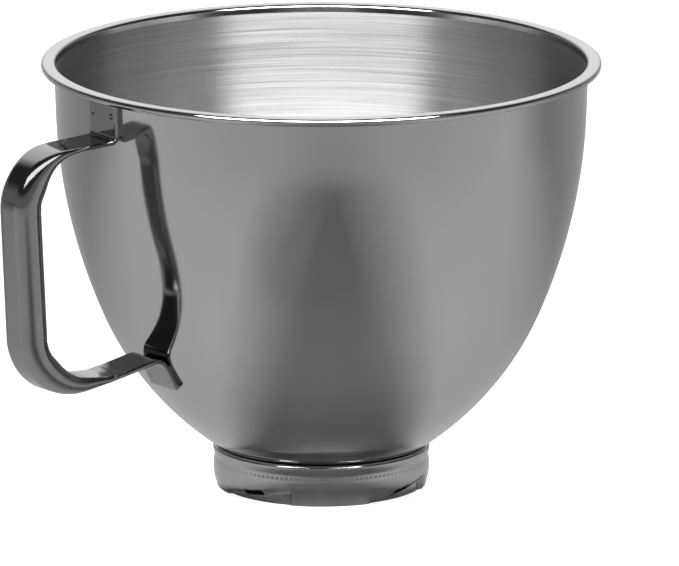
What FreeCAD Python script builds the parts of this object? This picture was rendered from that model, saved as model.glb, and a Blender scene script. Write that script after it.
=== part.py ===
import FreeCAD, Part
import math
import os

from FreeCAD import Vector

# A stainless mixing bowl for a stand mixer: a deep drawn bowl with a curled rim, a bayonet foot
# ring welded under it, and a hollow handle, pressed from tube, welded to its side.
# Millimetres, +Z up. The origin is on the bowl's axis at the bottom of the foot ring, and the
# handle stands on the -X side. Slopes and turns are in degrees.

# Bowl, drawn from one sheet
bowl_height = 181.0
bowl_sheet = 0.8
wall_radius = 111.3
wall_taper = 2.0
straight_wall = 20.0
belly_joint = 23.6
base_slope = 34.5
heel_radius = 20.0
dimple_radius = 13.0
dimple_height = 3.0

# Curled rim
curl_reach = 5.5
curl_height = 3.2
curl_end_gap = 0.6

# Foot ring, pressed from thicker sheet
foot_radius = 45.1
foot_sheet = 1.0
foot_top_radius = 45.3
foot_corner_height = 18.9
foot_bend_radius = 1.4
foot_flange_width = 6.0
foot_waist_depth = 0.5
foot_band_low = 7.6
foot_band_height = 2.4
foot_tuck = 1.6

# Bayonet recesses, pressed inwards round the foot
recess_count = 4
recess_first_angle = 193.0
recess_span = 48.0
recess_depth = 2.9
recess_top = 5.2
recess_ramp = 6.6
recess_entry_run = 1.5
recess_stop_run = 2.0
recess_corner_radius = 1.5
slot_width = 10.0
slot_margin = 0.3

# Handle, pressed from one tube: full in the grip and flat in the arms and flanges
handle_width = 18.6
handle_wall = 1.0
grip_depth = 13.0
grip_reach = 160.8
grip_lean = 3.0
upper_arm_drop = 17.8
upper_arm_fall = 2.5
lower_arm_height = 52.0
lower_arm_rise = 11.0
upper_corner_radius = 24.0
lower_corner_radius = 26.0
upper_bend_radius = 1.5
lower_bend_radius = 5.0
flat_run = 16.0
opening_share = 0.7
outer_round = 0.42
inner_round = 0.46
upper_flange_gap = 0.6
lower_flange_angle = -30.0
lower_flange_length = 15.0

# Spot welds, two in each flange, set in from its sides and its end
weld_radius = 1.3
weld_depth = 0.5
weld_inset = 3.0
weld_end_inset = 4.5

# Spacing of the sections that the handle is drawn through, and how far its flanges start out
# inside the bowl before they are trimmed to it
station_spacing = 5.0
trim_depth = 1.0
hollow_from = 5.0

# How far cutting shapes run past what they cut
overrun = 5.0

flat_depth = 2 * handle_wall


def place(radius, height):
    """A point of a profile: radius from the axis and height."""
    return Vector(radius, 0, height)


def polar(centre, radius, angle):
    """The point at an angle from +X round a centre, in the plane of the profiles."""
    turn = math.radians(angle)
    return centre + place(radius * math.cos(turn), radius * math.sin(turn))


def arc(centre, radius, start, end):
    """An arc of a profile between two angles."""
    middle = polar(centre, radius, (start + end) / 2)
    return Part.Arc(polar(centre, radius, start), middle, polar(centre, radius, end)).toShape()


def line(start, end):
    return Part.LineSegment(start, end).toShape()


def revolve(edges):
    """A solid of revolution about Z from the closed outline that the edges make."""
    face = Part.Face(Part.Wire(Part.__sortEdges__(edges)))
    return face.revolve(Vector(0, 0, 0), Vector(0, 0, 1), 360)


# The centre of the curl's inner bend and of its outer bend
curl_bend = curl_height / 2 - bowl_sheet
curl_middle = bowl_height - curl_height / 2
curl_inner = place(wall_radius + curl_bend * math.cos(math.radians(wall_taper)), curl_middle)
curl_outer = place(wall_radius + curl_reach - curl_height / 2, curl_middle)

# The outside of the wall is a straight run, two tangent arcs and a cone that the foot sits on.
# The slope at which the arcs meet is given, and both radii follow from it.
wall_top = polar(curl_inner, curl_bend, 180 - wall_taper)
belly_top = polar(wall_top, straight_wall, 270 - wall_taper)
foot_corner = place(foot_top_radius, foot_corner_height)
cone_angle = base_slope - 90
joint_angle = -belly_joint


def belly_radii():
    """Radii of the two arcs that reach from the straight wall to the cone at the foot's corner."""
    outwards = [polar(place(0, 0), 1, angle) for angle in (-wall_taper, joint_angle, cone_angle)]
    upper = outwards[1] - outwards[0]
    lower = outwards[2] - outwards[1]
    drop = foot_corner - belly_top
    spread = upper.x * lower.z - upper.z * lower.x
    return (drop.x * lower.z - drop.z * lower.x) / spread, (upper.x * drop.z - upper.z * drop.x) / spread


upper_radius, belly_radius = belly_radii()
upper_centre = polar(belly_top, -upper_radius, -wall_taper)
belly_centre = polar(foot_corner, -belly_radius, cone_angle)

# The cone runs in under the foot's flange, then the heel turns it into the flat floor
cone_length = foot_bend_radius * math.tan(math.radians((90 + base_slope) / 2)) + foot_flange_width
heel_top = polar(foot_corner, -cone_length, base_slope)
heel_centre = polar(heel_top, -heel_radius, cone_angle)
floor_height = heel_centre.z - heel_radius
dimple_bend = (dimple_radius ** 2 + dimple_height ** 2) / (4 * dimple_height)
dimple_turn = math.degrees(math.asin(dimple_radius / 2 / dimple_bend))


def bowl_side(grow):
    """Edges of the bowl's outside, from the floor's centre to the curl, moved outwards by grow."""
    dimple_foot = place(dimple_radius, floor_height + dimple_bend)
    dimple_crown = place(0, floor_height + dimple_height - dimple_bend)
    floor = floor_height - grow
    heel_low = place(heel_centre.x, floor)
    return [
        arc(dimple_crown, dimple_bend - grow, 90, 90 - dimple_turn),
        arc(dimple_foot, dimple_bend + grow, 270 - dimple_turn, 270),
        line(place(dimple_radius, floor), heel_low),
        arc(heel_centre, heel_radius + grow, -90, cone_angle),
        line(polar(heel_top, grow, cone_angle), polar(foot_corner, grow, cone_angle)),
        arc(belly_centre, belly_radius + grow, cone_angle, joint_angle),
        arc(upper_centre, upper_radius + grow, joint_angle, -wall_taper),
        line(polar(belly_top, grow, -wall_taper), polar(wall_top, grow, -wall_taper)),
    ]


def curl_side(bend):
    """Edges of one side of the curled rim, from the wall to the sheet's edge."""
    end = wall_radius + curl_end_gap
    return [
        arc(curl_inner, bend, 180 - wall_taper, 90),
        line(polar(curl_inner, bend, 90), polar(curl_outer, bend, 90)),
        arc(curl_outer, bend, 90, -90),
        line(polar(curl_outer, bend, -90), place(end, curl_outer.z - bend)),
    ]


def make_bowl():
    """The drawn bowl, its wall of one thickness from the dimple in the floor to the curl's edge."""
    end = wall_radius + curl_end_gap
    crown = floor_height + dimple_height
    closing = [
        line(place(end, curl_outer.z - curl_bend), place(end, curl_outer.z - curl_bend - bowl_sheet)),
        line(place(0, crown), place(0, crown + bowl_sheet)),
    ]
    outside = bowl_side(0) + curl_side(curl_bend)
    inside = bowl_side(-bowl_sheet) + curl_side(curl_bend + bowl_sheet)
    return revolve(outside + inside + closing)


def bowl_envelope():
    """The space inside the bowl's outside, closed at the top, to trim what is welded on."""
    top = bowl_height + overrun
    wall_end = place(wall_top.x, top)
    crown = place(0, floor_height + dimple_height)
    closing = [line(wall_top, wall_end), line(wall_end, place(0, top)), line(place(0, top), crown)]
    return revolve(bowl_side(0) + closing)


# The foot's wall turns in under the cone, and its flange lies flat on the bowl
slope = math.radians(base_slope)
foot_bend_drop = foot_bend_radius * (math.tan(slope) + 1 / math.cos(slope))
foot_bend_centre = foot_corner - place(foot_bend_radius, foot_bend_drop)


def foot_side(inset):
    """Edges of the foot's upright wall, from its bottom to its top bend, moved in by inset."""
    tuck_radius = (foot_band_low ** 2 + foot_tuck ** 2) / (2 * foot_tuck)
    tuck_turn = math.degrees(math.asin(foot_band_low / tuck_radius))
    band_low = place(foot_radius - inset, foot_band_low)
    band_high = place(foot_radius - inset, foot_band_low + foot_band_height)
    top = foot_bend_centre.z
    waist_radius = (foot_radius + foot_top_radius) / 2 - foot_waist_depth
    waist = place(waist_radius - inset, (band_high.z + top) / 2)
    upper = Part.BSplineCurve()
    upper.interpolate(Points=[band_high, waist, place(foot_top_radius - inset, top)],
                      InitialTangent=Vector(0, 0, 1), FinalTangent=Vector(0, 0, 1))
    return [
        arc(band_low - place(tuck_radius, 0), tuck_radius, -tuck_turn, 0),
        line(band_low, band_high),
        upper.toShape(),
    ]


def make_foot_ring():
    """The foot ring: a collar with a waist, an inner flange and four pressed recesses."""
    outer_bend = arc(foot_bend_centre, foot_bend_radius, 0, 90 + base_slope)
    inner_bend = arc(foot_bend_centre, foot_bend_radius - foot_sheet, 0, 90 + base_slope)
    flange_top = polar(foot_bend_centre, foot_bend_radius, 90 + base_slope)
    flange_low = polar(foot_bend_centre, foot_bend_radius - foot_sheet, 90 + base_slope)
    flange_end = polar(flange_top, -foot_flange_width, base_slope)
    flange_end_low = polar(flange_low, -foot_flange_width, base_slope)
    bottom = foot_radius - foot_tuck
    section = foot_side(0) + foot_side(foot_sheet) + [
        outer_bend, inner_bend, line(flange_top, flange_end), line(flange_low, flange_end_low),
        line(flange_end, flange_end_low), line(place(bottom, 0), place(bottom - foot_sheet, 0)),
    ]
    ring = revolve(section)
    core = foot_sheet / 2
    top = place(0, foot_bend_centre.z)
    middle = place(0, 0)
    closing = [line(place(foot_top_radius - core, top.z), top), line(top, middle),
               line(middle, place(bottom - core, 0))]
    filled = revolve(foot_side(core) + closing)
    turns = [recess_first_angle + 360 / recess_count * i for i in range(recess_count)]
    bulges = [recess_space(turn, foot_sheet).common(filled) for turn in turns]
    hollows = [recess_space(turn, 0) for turn in turns]
    slots = [recess_slot(turn) for turn in turns]
    return ring.fuse(bulges).cut(hollows).cut(slots).removeSplitter().Solids[0]


def tilt_and_turn(shape, turn):
    """Tilts a recess built on +X to its ramp and turns it to its place round the foot."""
    shape.rotate(place(0, recess_top), Vector(1, 0, 0), recess_ramp)
    shape.rotate(Vector(0, 0, 0), Vector(0, 0, 1), turn)
    return shape


def recess_space(turn, grow):
    """The space that one recess takes, grown by the sheet's thickness for the bulge behind it."""
    floor = foot_radius - recess_depth - grow
    far = foot_radius + overrun
    flank_low = recess_top - recess_depth + grow * (math.sqrt(2) - 1)
    groove = revolve([
        line(place(floor, -overrun), place(floor, flank_low)),
        line(place(floor, flank_low), place(far, flank_low + far - floor)),
        line(place(far, flank_low + far - floor), place(far, -overrun)),
        line(place(far, -overrun), place(floor, -overrun)),
    ])
    entry = end_wall(-recess_span / 2, recess_entry_run, grow)
    stop = end_wall(recess_span / 2, recess_stop_run, grow)
    corners = [entry[0], stop[0], stop[1], entry[1], entry[0]]
    sector = Part.Face(Part.makePolygon(corners)).extrude(Vector(0, 0, 4 * overrun))
    space = groove.common(sector).Solids[0]
    rounded = space.makeFillet(recess_corner_radius + grow, end_corners(space))
    return tilt_and_turn(rounded, turn)


def end_corners(space):
    """Edges where a recess's end walls meet its floor and its flank."""
    corners = []
    for face in space.Faces:
        upright = isinstance(face.Surface, Part.Plane) and abs(face.Surface.Axis.z) < 0.5
        for edge in face.Edges if upright else []:
            nearest = min(math.hypot(end.X, end.Y) for end in edge.Vertexes)
            if nearest < foot_radius - recess_depth / 2 and edge.BoundBox.ZMax > 0:
                corners.append(edge)
    return corners


def end_wall(angle, run, grow):
    """Ends of a slanted end wall seen from above: it leans by run over the recess's depth."""
    low = -2 * overrun
    side = math.copysign(1, angle)
    lean = side * math.degrees(run / foot_radius)
    on_ring = seen_from_above(foot_radius, angle, low)
    on_floor = seen_from_above(foot_radius - recess_depth, angle - lean, low)
    way = (on_ring - on_floor).normalize()
    shift = Vector(-way.y, way.x, 0) * (side * grow)
    return on_floor - way * overrun + shift, on_ring + way * (3 * overrun) + shift


def seen_from_above(radius, angle, height):
    """The point at a radius and an angle round the bowl's axis."""
    turn = math.radians(angle)
    return Vector(radius * math.cos(turn), radius * math.sin(turn), height)


def recess_slot(turn):
    """The slot through the sloped flank in the middle of a recess."""
    height = recess_depth - 2 * slot_margin
    low = recess_top - recess_depth + slot_margin
    start = foot_radius - recess_depth - overrun
    slot = Part.makeBox(2 * overrun, slot_width, height, Vector(start, -slot_width / 2, low))
    return tilt_and_turn(slot, turn)


def crossing(first, second):
    """Where two lines of the profile plane cross, each given by a point and a direction's angle."""
    (start, turn), (other, other_turn) = first, second
    way = polar(place(0, 0), 1, turn)
    other_way = polar(place(0, 0), 1, other_turn)
    gap = other - start
    spread = way.x * other_way.z - way.z * other_way.x
    return start + way * ((gap.x * other_way.z - gap.z * other_way.x) / spread)


def heading(start, end):
    """The angle of the way from one point to the next."""
    return math.degrees(math.atan2(end.z - start.z, end.x - start.x))


def handle_corners():
    """Corners of the handle's outer face, from the upper flange's top to the lower flange's end."""
    flange_top = place(0, bowl_height - curl_height - upper_flange_gap)
    upper_wall = (polar(wall_top, flat_depth, -wall_taper), 270 - wall_taper)
    upper_arm = (place(wall_radius, bowl_height - upper_arm_drop), -upper_arm_fall)
    grip = (place(grip_reach, bowl_height - 2 * upper_corner_radius), 270 - grip_lean)
    lower_arm = (place(grip_reach, lower_arm_height), 180 - lower_arm_rise)
    down_wall = lower_flange_angle - 90
    lower_wall = (polar(belly_centre, belly_radius + flat_depth, lower_flange_angle), down_wall)
    lower_bend = crossing(lower_arm, lower_wall)
    return [
        crossing((flange_top, 0), upper_wall),
        crossing(upper_wall, upper_arm),
        crossing(upper_arm, grip),
        crossing(grip, lower_arm),
        lower_bend,
        polar(lower_bend, lower_flange_length, down_wall),
    ]


def bend(before, corner, after, radius):
    """A tangent bend at a corner of the path: its centre, radius, first heading and turn."""
    start = heading(before, corner)
    turn = (heading(corner, after) - start + 180) % 360 - 180
    first = polar(corner, -radius * math.tan(math.radians(abs(turn) / 2)), start)
    centre = polar(first, radius, start + math.copysign(90, turn))
    return centre, radius, start, turn


def on_bend(corner_bend, share):
    """The point and heading at a share of the way round a bend."""
    centre, radius, start, turn = corner_bend
    angle = start + turn * share
    return polar(centre, radius, angle - math.copysign(90, turn)), angle


def ease(share):
    """A smooth step from 0 to 1."""
    return share * share * (3 - 2 * share)


def opening_stations(flat, corner_bend, forwards):
    """Sections where the tube opens from flat to full, along the arm and then round the corner.

    Each is a point, a heading and a depth. The tube is full by opening_share of the way. On the
    lower arm, which is not forwards, the corner's bend ends where this stretch meets it."""
    near, far = (0, 1) if forwards else (1, 0)
    bend_start, _ = on_bend(corner_bend, near)
    arm_length = (bend_start - flat).Length
    length = arm_length + math.radians(abs(corner_bend[3])) * corner_bend[1]
    arm_steps = max(1, round(arm_length / station_spacing))
    bend_steps = max(3, round((length - arm_length) / station_spacing))
    way = on_bend(corner_bend, near)[1]
    stations = []
    for i in range(arm_steps):
        share = i / arm_steps
        stations.append((flat + (bend_start - flat) * share, way, share * arm_length / length))
    for i in range(bend_steps + 1):
        share = i / bend_steps
        point, angle = on_bend(corner_bend, near + (far - near) * share)
        stations.append((point, angle, (arm_length + share * (length - arm_length)) / length))
    return [(point, angle, flat_depth + (grip_depth - flat_depth) * ease(min(1, share / opening_share)))
            for point, angle, share in stations]


def tube_section(point, turn, depth, inset):
    """The tube's outline across its length, moved in by inset: a flat outer face, round corners."""
    inward = polar(place(0, 0), 1, turn - 90)
    half = handle_width / 2 - inset
    outer = outer_round * depth - inset
    inner = inner_round * depth - inset
    low, high = inset, depth - inset

    def at(across, down):
        return point + inward * down + Vector(0, across, 0)

    def corner(across, down, radius, side, way):
        tip = radius * (1 - math.sqrt(0.5))
        return [at(across, down + way * radius), at(across - side * tip, down + way * tip),
                at(across - side * radius, down)]

    rounds = [corner(half, low, outer, 1, 1), corner(-half, low, outer, -1, 1)[::-1],
              corner(-half, high, inner, -1, -1), corner(half, high, inner, 1, -1)[::-1]]
    edges = []
    for this, following in zip(rounds, rounds[1:] + rounds[:1]):
        edges += [Part.Arc(*this).toShape(), line(this[-1], following[0])]
    return Part.Wire(edges)


def prism(point, turn, depth, length, inset=0):
    """A straight run of the tube from a point along its heading."""
    face = Part.Face(tube_section(point, turn, depth, inset))
    return face.extrude(polar(place(0, 0), length, turn))


def flat_bend(corner_bend):
    """The pressed flat tube turned round a bend."""
    face = Part.Face(tube_section(*on_bend(corner_bend, 0), flat_depth, 0))
    return face.revolve(corner_bend[0], Vector(0, 1, 0), -corner_bend[3])


def opened(stations, inset):
    return Part.makeLoft([tube_section(*station, inset) for station in stations], True)


def make_handle():
    """The handle: one tube pressed flat at both ends, bent, and spot welded on by its flanges."""
    corners = handle_corners()
    radii = [upper_bend_radius, upper_corner_radius, lower_corner_radius, lower_bend_radius]
    root, upper, lower, end = [bend(*corners[i:i + 3], radii[i]) for i in range(4)]
    arm, arm_turn = on_bend(root, 1)
    low_arm, low_turn = on_bend(end, 0)
    flat = polar(arm, flat_run, arm_turn)
    low_flat = polar(low_arm, -flat_run, low_turn)
    grip_top, grip_turn = on_bend(upper, 1)
    grip_length = (on_bend(lower, 0)[0] - grip_top).Length
    flange_length = (on_bend(root, 0)[0] - corners[0]).Length
    low_flange, low_flange_turn = on_bend(end, 1)
    low_flange_length = (corners[-1] - low_flange).Length
    opening = opening_stations(flat, upper, True)
    closing = opening_stations(low_flat, lower, False)
    tube = prism(corners[0], on_bend(root, 0)[1], flat_depth + trim_depth, flange_length)
    tube = tube.fuse([
        flat_bend(root),
        prism(arm, arm_turn, flat_depth, flat_run),
        opened(opening, 0),
        prism(grip_top, grip_turn, grip_depth, grip_length),
        opened(closing, 0),
        prism(low_flat, low_turn, flat_depth, flat_run),
        flat_bend(end),
        prism(low_flange, low_flange_turn, flat_depth + trim_depth, low_flange_length),
    ])
    hollow = prism(grip_top, grip_turn, grip_depth, grip_length, handle_wall).fuse([
        opened([s for s in opening if s[2] > hollow_from], handle_wall),
        opened([s for s in closing if s[2] > hollow_from], handle_wall),
    ])
    welds = weld_marks(corners[0], heading(*corners[:2]), 1)
    welds += weld_marks(corners[-1], heading(*corners[-2:]), -1)
    handle = tube.cut(bowl_envelope()).cut(hollow).cut(welds).removeSplitter().Solids[0]
    handle.rotate(Vector(0, 0, 0), Vector(0, 0, 1), 180)
    return handle


def weld_marks(flange_end, turn, way):
    """Balls that leave the shallow dents of a flange's two spot welds, in from its end."""
    ball = (weld_radius ** 2 + weld_depth ** 2) / (2 * weld_depth)
    centre = polar(polar(flange_end, way * weld_end_inset, turn), ball - weld_depth, turn + 90)
    across = Vector(0, handle_width / 2 - weld_inset, 0)
    return [Part.makeSphere(ball, centre - across), Part.makeSphere(ball, centre + across)]


os.makedirs("parts", exist_ok=True)
make_bowl().exportStep("parts/bowl.step")
make_foot_ring().exportStep("parts/foot_ring.step")
make_handle().exportStep("parts/handle.step")
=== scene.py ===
import math

import bmesh
import bpy
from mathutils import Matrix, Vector


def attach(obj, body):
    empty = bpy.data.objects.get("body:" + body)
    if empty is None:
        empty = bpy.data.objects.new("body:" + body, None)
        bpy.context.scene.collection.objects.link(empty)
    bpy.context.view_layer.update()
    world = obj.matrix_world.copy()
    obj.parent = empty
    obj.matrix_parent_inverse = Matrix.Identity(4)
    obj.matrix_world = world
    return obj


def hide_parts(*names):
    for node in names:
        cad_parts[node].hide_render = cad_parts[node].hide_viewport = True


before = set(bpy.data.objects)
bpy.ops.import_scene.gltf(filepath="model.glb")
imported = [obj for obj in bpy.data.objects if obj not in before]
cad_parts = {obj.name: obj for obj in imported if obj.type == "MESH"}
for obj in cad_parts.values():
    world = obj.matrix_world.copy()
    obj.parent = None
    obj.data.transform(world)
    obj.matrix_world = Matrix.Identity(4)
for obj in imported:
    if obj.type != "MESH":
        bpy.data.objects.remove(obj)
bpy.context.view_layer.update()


# The bowl: one sheet of 0.8 mm stainless steel, deep drawn, with a shallow dimple in its floor and
# its rim curled outwards over itself. It is mirror polished outside and on the curl, and brushed
# round and round inside on a lathe.

mm = 0.001
bowl_sheet = 0.8
dimple_crown = 13.477
dimple_bend, dimple_turn = 14.833, 25.989
heel_radius, belly_radius, upper_radius = 20.0, 131.554, 232.018
curl_bend = 0.8

# The outside of the sheet, from the dimple's crown to the sheet's edge under the curl. Each row is
# a straight run and its steps, then a bend's radius, its turn (leftwards positive) and its steps.
bowl_runs = [
    (0.0, 0, dimple_bend, -dimple_turn, 6),
    (0.0, 0, dimple_bend, dimple_turn, 6),
    (13.834, 6, heel_radius, 34.5, 8),
    (8.661, 4, belly_radius, 31.9, 32),
    (0.0, 0, upper_radius, 21.6, 24),
    (20.0, 8, curl_bend, -88.0, 8),
    (3.101, 2, curl_bend, -180.0, 16),
    (3.3, 2, 0.0, 0.0, 0),
]
bowl_steps = 256
merge_distance = 0.002
sharp_angle = math.radians(35)


def sideways(heading):
    """The direction to the left of a heading, in the plane of a profile."""
    turn = math.radians(heading + 90)
    return Vector((math.cos(turn), 0, math.sin(turn)))


def run_on(shape, tip, heading, length, steps):
    """Carries a profile straight on from its tip, and returns the new tip."""
    forwards = sideways(heading - 90)
    for _ in range(steps):
        tip = bmesh.ops.extrude_vert_indiv(shape, verts=[tip])["verts"][0]
        bmesh.ops.translate(shape, verts=[tip], vec=forwards * (length / steps * mm))
    return tip


def bend_on(shape, tip, heading, radius, turn, steps):
    """Carries a profile round a bend from its tip, and returns the new tip."""
    if steps == 0:
        return tip
    centre = tip.co + sideways(heading) * math.copysign(radius * mm, turn)
    swept = bmesh.ops.spin(shape, geom=[tip], cent=centre, axis=(0, -1, 0),
                           angle=math.radians(turn), steps=steps)
    return next(part for part in swept["geom_last"] if isinstance(part, bmesh.types.BMVert))


def merge_doubles(shape):
    """Merges the vertices that lie on each other."""
    bmesh.ops.remove_doubles(shape, verts=shape.verts[:], dist=merge_distance * mm)


def make_piece(name, shape):
    """A shape as a piece, its faces smooth and the edges between steep ones sharp."""
    for face in shape.faces:
        face.smooth = True
    for edge in shape.edges:
        edge.smooth = len(edge.link_faces) == 2 and edge.calc_face_angle(math.pi) < sharp_angle
    mesh = bpy.data.meshes.new(name)
    shape.to_mesh(mesh)
    shape.free()
    piece = bpy.data.objects.new(name, mesh)
    bpy.context.scene.collection.objects.link(piece)
    return piece


def linear(code):
    """An sRGB hex colour as linear red, green, blue and alpha."""
    channels = [int(code[i:i + 2], 16) / 255 for i in (0, 2, 4)]
    return [c / 12.92 if c <= 0.04045 else ((c + 0.055) / 1.055) ** 2.4 for c in channels] + [1.0]


def add_node(tree, kind, inputs=None, links=None, **settings):
    """A node with its settings, its inputs' values and the sockets that feed its inputs."""
    node = tree.nodes.new(kind)
    for name, value in settings.items():
        setattr(node, name, value)
    for name, value in (inputs or {}).items():
        node.inputs[name].default_value = value
    for name, socket in (links or {}).items():
        tree.links.new(socket, node.inputs[name])
    return node


def new_material(name):
    """A material with an empty tree, and that tree."""
    material = bpy.data.materials.new(name)
    material.use_nodes = True
    material.node_tree.nodes.clear()
    return material, material.node_tree


# Out along the outside of the sheet, across its edge, and back along the inside
shape = bmesh.new()
tip = shape.verts.new((0, 0, dimple_crown * mm))
heading = 0.0
for length, run_steps, radius, turn, bend_steps in bowl_runs:
    tip = run_on(shape, tip, heading, length, run_steps)
    tip = bend_on(shape, tip, heading, radius, turn, bend_steps)
    heading += turn
tip = run_on(shape, tip, heading + 90, bowl_sheet, 1)
heading += 180
for length, run_steps, radius, turn, bend_steps in reversed(bowl_runs):
    inner_radius = radius - math.copysign(bowl_sheet, turn)
    tip = bend_on(shape, tip, heading, inner_radius, -turn, bend_steps)
    heading -= turn
    tip = run_on(shape, tip, heading, length, run_steps)
bmesh.ops.spin(shape, geom=shape.verts[:] + shape.edges[:], cent=(0, 0, 0), axis=(0, 0, 1),
               angle=math.tau, steps=bowl_steps, use_merge=True)
merge_doubles(shape)
bmesh.ops.recalc_face_normals(shape, faces=shape.faces[:])
bowl = make_piece("drawn_bowl", shape)
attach(bowl, "root")
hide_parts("bowl")

# 18/8 stainless steel. The outside is buffed on a wheel to a mirror, and the drawing leaves it a
# little hazy. The inside is brushed round and round, and its fine rings draw each light out into
# a band up and down the wall. The real rings are about 0.1 mm apart, and are drawn at 0.5 mm so
# that they show.
steel_colour = "B2B2B2"
haze_size = 16.0
mirror_rough = (0.07, 0.11)
ring_dark, ring_light = "909090", "A8A8A8"
ring_length, ring_spacing = 90.0, 0.5
ring_bump, ring_relief = 0.25, 0.02
brushed_rough = (0.32, 0.46)
brushed_stretch, brushed_turn = 0.90, 0.25
bowl_centre = 150.0
curl_bottom = 177.7
noise_span = {"From Min": 0.3, "From Max": 0.7}

bowl_steel, tree = new_material("stainless steel, mirror polished outside and satin brushed inside")
where = add_node(tree, "ShaderNodeTexCoord")
surface = add_node(tree, "ShaderNodeNewGeometry")
spot = add_node(tree, "ShaderNodeSeparateXYZ", links={"Vector": where.outputs["Object"]})
level = add_node(tree, "ShaderNodeVectorMath", {1: (1, 1, 0)}, {0: where.outputs["Object"]},
                 operation="MULTIPLY")
from_axis = add_node(tree, "ShaderNodeVectorMath", links={0: level.outputs[0]}, operation="LENGTH")
run = add_node(tree, "ShaderNodeMath",
               links={0: spot.outputs["Z"], 1: from_axis.outputs["Value"]}, operation="ADD")
along = add_node(tree, "ShaderNodeCombineXYZ",
                 links={"X": spot.outputs["X"], "Y": spot.outputs["Y"], "Z": run.outputs[0]})
stretched = add_node(tree, "ShaderNodeVectorMath",
                     {1: [1 / (size * mm) for size in (ring_length, ring_length, ring_spacing)]},
                     {0: along.outputs[0]}, operation="MULTIPLY")
rings = add_node(tree, "ShaderNodeTexNoise", {"Scale": 1.0, "Detail": 3.0, "Roughness": 0.6},
                 {"Vector": stretched.outputs[0]})
ring_height = add_node(tree, "ShaderNodeBump",
                       {"Strength": ring_bump, "Distance": ring_relief * mm},
                       {"Height": rings.outputs["Fac"]})
ring_rough = add_node(tree, "ShaderNodeMapRange",
                      noise_span | {"To Min": brushed_rough[0], "To Max": brushed_rough[1]},
                      {"Value": rings.outputs["Fac"]})
ring_share = add_node(tree, "ShaderNodeMapRange", noise_span, {"Value": rings.outputs["Fac"]})
ring_tone = add_node(tree, "ShaderNodeMix", {6: linear(ring_dark), 7: linear(ring_light)},
                     {0: ring_share.outputs[0]}, data_type="RGBA")
round_axis = add_node(tree, "ShaderNodeTangent", direction_type="RADIAL", axis="Z")
satin = add_node(tree, "ShaderNodeBsdfPrincipled",
                 {"Metallic": 1.0, "Anisotropic": brushed_stretch,
                  "Anisotropic Rotation": brushed_turn},
                 {"Base Color": ring_tone.outputs[2], "Roughness": ring_rough.outputs[0],
                  "Normal": ring_height.outputs[0], "Tangent": round_axis.outputs[0]})
haze = add_node(tree, "ShaderNodeTexNoise", {"Scale": 1 / (haze_size * mm), "Detail": 4.0},
                {"Vector": where.outputs["Object"]})
haze_rough = add_node(tree, "ShaderNodeMapRange",
                      noise_span | {"To Min": mirror_rough[0], "To Max": mirror_rough[1]},
                      {"Value": haze.outputs["Fac"]})
mirror = add_node(tree, "ShaderNodeBsdfPrincipled",
                  {"Base Color": linear(steel_colour), "Metallic": 1.0},
                  {"Roughness": haze_rough.outputs[0]})

# A face is inside if it looks towards the bowl's centre and lies under the curl
from_centre = add_node(tree, "ShaderNodeVectorMath", {1: (0, 0, bowl_centre * mm)},
                       {0: where.outputs["Object"]}, operation="SUBTRACT")
facing = add_node(tree, "ShaderNodeVectorMath",
                  links={0: from_centre.outputs[0], 1: surface.outputs["Normal"]},
                  operation="DOT_PRODUCT")
inside = add_node(tree, "ShaderNodeMath", {1: 0.0}, {0: facing.outputs["Value"]},
                  operation="LESS_THAN")
under_curl = add_node(tree, "ShaderNodeMath", {1: curl_bottom * mm}, {0: spot.outputs["Z"]},
                      operation="LESS_THAN")
brushed = add_node(tree, "ShaderNodeMath",
                   links={0: inside.outputs[0], 1: under_curl.outputs[0]}, operation="MULTIPLY")
finish = add_node(tree, "ShaderNodeMixShader",
                  links={0: brushed.outputs[0], 1: mirror.outputs[0], 2: satin.outputs[0]})
add_node(tree, "ShaderNodeOutputMaterial", links={"Surface": finish.outputs[0]})
bowl.data.materials.append(bowl_steel)


# The foot ring: a band of 1 mm stainless sheet, rolled, waisted and welded under the bowl. Four
# bayonet recesses, each with a ramp and a slot, are pressed into its foot. It is the CAD node's
# own shape, with its doubles merged, its stored normals dropped and its corners left sharp.

shape = bmesh.new()
shape.from_mesh(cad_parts["foot_ring"].data)
merge_doubles(shape)
foot = make_piece("pressed_foot_ring", shape)
foot.data.attributes.remove(foot.data.attributes["custom_normal"])
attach(foot, "root")
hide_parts("foot_ring")


def lined_steel(name, colour, line_size, bump, rough):
    """Polished steel with fine lines: their size along X, Y and Z, their bump and roughness."""
    material, tree = new_material(name)
    where = add_node(tree, "ShaderNodeTexCoord")
    stretched = add_node(tree, "ShaderNodeVectorMath", {1: [1 / (size * mm) for size in line_size]},
                         {0: where.outputs["Object"]}, operation="MULTIPLY")
    lines = add_node(tree, "ShaderNodeTexNoise", {"Scale": 1.0, "Detail": 2.0},
                     {"Vector": stretched.outputs[0]})
    line_height = add_node(tree, "ShaderNodeBump",
                           {"Strength": bump, "Distance": line_relief * mm},
                           {"Height": lines.outputs["Fac"]})
    line_rough = add_node(tree, "ShaderNodeMapRange",
                          noise_span | {"To Min": rough[0], "To Max": rough[1]},
                          {"Value": lines.outputs["Fac"]})
    metal = add_node(tree, "ShaderNodeBsdfPrincipled",
                     {"Base Color": linear(colour), "Metallic": 1.0},
                     {"Roughness": line_rough.outputs[0], "Normal": line_height.outputs[0]})
    add_node(tree, "ShaderNodeOutputMaterial", links={"Surface": metal.outputs[0]})
    return material


# 18/8 stainless steel, pressed and then polished less than the bowl: it mirrors softly, with faint
# lines round the ring. The real lines are finer than 0.1 mm and are drawn at 0.5 mm.
line_relief = 0.01
foot_line_size = (30.0, 30.0, 0.5)
foot_bump, foot_rough = 0.1, (0.11, 0.17)

foot_steel = lined_steel("stainless steel, pressed and polished", "B0B0B0", foot_line_size,
                         foot_bump, foot_rough)
foot.data.materials.append(foot_steel)


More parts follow.
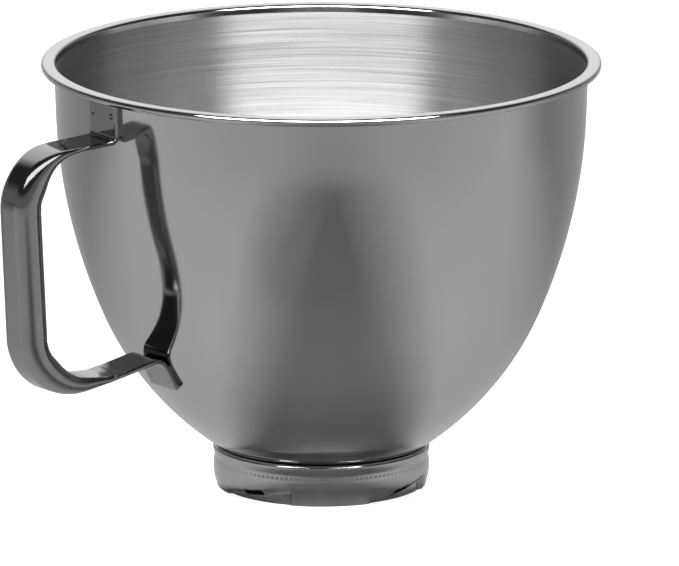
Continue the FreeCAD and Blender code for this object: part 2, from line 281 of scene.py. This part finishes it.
# The handle: one stainless tube with a 1 mm wall, left full in the grip and pressed flat in its
# arms and flanges, bent twice and spot welded to the bowl. The CAD node has its shape and stays.

# 18/8 stainless steel, drawn and polished along its length, with fine lines along the tube, 0.4 mm
# apart here and finer on the real one. Its colour is darker than such steel is, as painted shade,
# because in the photograph the handle is darker than the bowl.
handle_line_size = (30.0, 0.4, 30.0)
handle_bump, handle_rough = 0.06, (0.06, 0.11)

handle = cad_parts["handle"]
# 8C8C8C is the steel's colour darkened as painted shade
handle_steel = lined_steel("stainless steel tube, drawn and polished", "8C8C8C", handle_line_size,
                           handle_bump, handle_rough)
for slot in handle.material_slots:
    slot.material = handle_steel


# The floor and backdrop: one white card, seen white by the camera, with the bowl's shadow kept. Its
# colour falls to a painted shade behind the bowl, which the polished metal mirrors so that its
# edges stay dark. The camera doesn't see the painted shade, and sees no glow from inside the foot.

floor_half = 6.0
foot_inside = 0.042
# 9C9C9C is painted shade in the floor's colour behind the bowl, for the metal to mirror
card_colour, painted_shade_colour = "E6E6E6", "9C9C9C"
painted_shade_from, painted_shade_to = -0.12, 0.25
back_way = (0.602, 0.799, 0.0)
card_glow, glow_over_painted_shade = 0.8, 1.0

shape = bmesh.new()
bmesh.ops.create_grid(shape, x_segments=1, y_segments=1, size=floor_half)
floor = make_piece("floor", shape)

card, tree = new_material("white card floor")
ray = add_node(tree, "ShaderNodeLightPath")
where = add_node(tree, "ShaderNodeTexCoord")
behind = add_node(tree, "ShaderNodeVectorMath", {1: back_way}, {0: where.outputs["Object"]},
                  operation="DOT_PRODUCT")
# The share of painted shade, rising towards the back of the bowl
painted_shade_share = add_node(tree, "ShaderNodeMapRange", {"From Min": painted_shade_from, "From Max": painted_shade_to},
                      {"Value": behind.outputs["Value"]}, interpolation_type="SMOOTHSTEP")
tone = add_node(tree, "ShaderNodeMix", {6: linear(card_colour), 7: linear(painted_shade_colour)},
                {0: painted_shade_share.outputs[0]}, data_type="RGBA")
paper = add_node(tree, "ShaderNodeBsdfDiffuse", links={"Color": tone.outputs[2]})
from_axis = add_node(tree, "ShaderNodeVectorMath", links={0: where.outputs["Object"]},
                     operation="LENGTH")
outside_foot = add_node(tree, "ShaderNodeMath", {1: foot_inside}, {0: from_axis.outputs["Value"]},
                        operation="GREATER_THAN")
# More glow for the camera where the painted shade lies, so that the camera still sees white card
lift = add_node(tree, "ShaderNodeMapRange", {"To Min": card_glow, "To Max": glow_over_painted_shade},
                {"Value": painted_shade_share.outputs[0]})
seen = add_node(tree, "ShaderNodeMath",
                links={0: lift.outputs[0], 1: ray.outputs["Is Camera Ray"]}, operation="MULTIPLY")
strength = add_node(tree, "ShaderNodeMath",
                    links={0: seen.outputs[0], 1: outside_foot.outputs[0]}, operation="MULTIPLY")
glow = add_node(tree, "ShaderNodeEmission", {"Color": linear("FFFFFF")},
                {"Strength": strength.outputs[0]})
both = add_node(tree, "ShaderNodeAddShader", links={0: paper.outputs[0], 1: glow.outputs[0]})
add_node(tree, "ShaderNodeOutputMaterial", links={"Surface": both.outputs[0]})
floor.data.materials.append(card)

# The room: white to the camera, dim to the floor, and in the metal's mirror image a bright backdrop
# behind the bowl and a wall that darkens upwards. Directions are compared by their cosines.
backdrop_way = (0.50, 0.66, 0.56)
backdrop_edge, backdrop_middle, backdrop_level = 0.75, 0.95, 1.2
wall_low, wall_high = 0.15, 0.40
wall_low_level, wall_high_level = 0.30, 0.05
room_level = 0.26

world = bpy.data.worlds.new("studio")
bpy.context.scene.world = world
world.use_nodes = True
world.node_tree.nodes.clear()
tree = world.node_tree
ray = add_node(tree, "ShaderNodeLightPath")
way = add_node(tree, "ShaderNodeTexCoord")
toward = add_node(tree, "ShaderNodeVectorMath", {1: backdrop_way}, {0: way.outputs["Generated"]},
                  operation="DOT_PRODUCT")
backdrop = add_node(tree, "ShaderNodeMapRange",
                    {"From Min": backdrop_edge, "From Max": backdrop_middle,
                     "To Min": 0.0, "To Max": backdrop_level},
                    {"Value": toward.outputs["Value"]}, interpolation_type="SMOOTHSTEP")
height = add_node(tree, "ShaderNodeSeparateXYZ", links={"Vector": way.outputs["Generated"]})
wall = add_node(tree, "ShaderNodeMapRange",
                {"From Min": wall_low, "From Max": wall_high,
                 "To Min": wall_low_level, "To Max": wall_high_level},
                {"Value": height.outputs["Z"]}, interpolation_type="SMOOTHSTEP")
in_metal = add_node(tree, "ShaderNodeMath", links={0: backdrop.outputs[0], 1: wall.outputs[0]},
                    operation="MAXIMUM")
fill = add_node(tree, "ShaderNodeMix", {"A": room_level},
                {"Factor": ray.outputs["Is Glossy Ray"], "B": in_metal.outputs[0]})
shown = add_node(tree, "ShaderNodeMath",
                 links={0: fill.outputs["Result"], 1: ray.outputs["Is Camera Ray"]},
                 operation="MAXIMUM")
sky = add_node(tree, "ShaderNodeBackground", {"Color": linear("FFFFFF")},
               {"Strength": shown.outputs[0]})
add_node(tree, "ShaderNodeOutputWorld", links={"Surface": sky.outputs[0]})


# Lamps: a large soft box low behind the bowl, whose shadow gives the outside its dark middle, and a
# wide one above the camera for the inside of the bowl. Each lights only the pieces named with it,
# so that the floor that the outside mirrors keeps its tone. The handle has the wide one weaker, and
# none from behind, so that its flat arms don't burn out.

camera_turn = math.radians(233.0)
lamp_target = Vector((0, 0, 0.1))


def soft_box(name, turn, lift, distance, width, tall, power, lit):
    """An area lamp at an angle from the camera's side and a lift, turned to the bowl."""
    angle = camera_turn + math.radians(turn)
    rise = math.radians(lift)
    away = Vector((math.cos(rise) * math.cos(angle), math.cos(rise) * math.sin(angle),
                   math.sin(rise)))
    lamp = bpy.data.lights.new(name, "AREA")
    lamp.shape = "RECTANGLE"
    lamp.size = width
    lamp.size_y = tall
    lamp.energy = power
    holder = bpy.data.objects.new(name, lamp)
    holder.location = lamp_target + away * distance
    holder.rotation_euler = (-away).to_track_quat("-Z", "Y").to_euler()
    bpy.context.scene.collection.objects.link(holder)
    pieces = bpy.data.collections.new("lit by the " + name)
    for piece in lit:
        pieces.objects.link(piece)
    holder.light_linking.receiver_collection = pieces
    return holder


back_box = soft_box("back soft box", 185, 20, 4.0, 2.2, 1.0, 330, lit=(bowl, foot, floor))
back_box.visible_glossy = False
soft_box("front soft box", -2, 50, 1.2, 1.9, 0.5, 72, lit=(bowl, foot))
soft_box("handle soft box", -2, 50, 1.2, 1.9, 0.5, 9, lit=(handle,))


# The camera: a long lens at the photograph's angle, 13 degrees above the bowl's middle. The point
# it aims at lies a little right of and below the bowl's middle, as the photograph frames it.

camera_height = math.radians(13.01)
camera_distance = 6.8
picture_width = 679
pixels_per_metre = 2395.0
bowl_middle = Vector((0, 0, 0.0905))
off_centre = Vector((18.2, -11.53)) / pixels_per_metre

away = Vector((math.cos(camera_height) * math.cos(camera_turn),
               math.cos(camera_height) * math.sin(camera_turn), math.sin(camera_height)))
right = Vector((-math.sin(camera_turn), math.cos(camera_turn), 0))
up = away.cross(right)
aim = bowl_middle + right * off_centre.x + up * off_centre.y

lens = bpy.data.cameras.new("camera")
lens.sensor_width = 36.0
lens.lens = lens.sensor_width * camera_distance * pixels_per_metre / picture_width
lens.clip_end = 50.0
camera = bpy.data.objects.new("camera", lens)
camera.location = aim + away * camera_distance
camera.rotation_euler = (-away).to_track_quat("-Z", "Y").to_euler()
bpy.context.scene.collection.objects.link(camera)
bpy.context.scene.camera = camera
bpy.context.scene.view_settings.view_transform = "Standard"
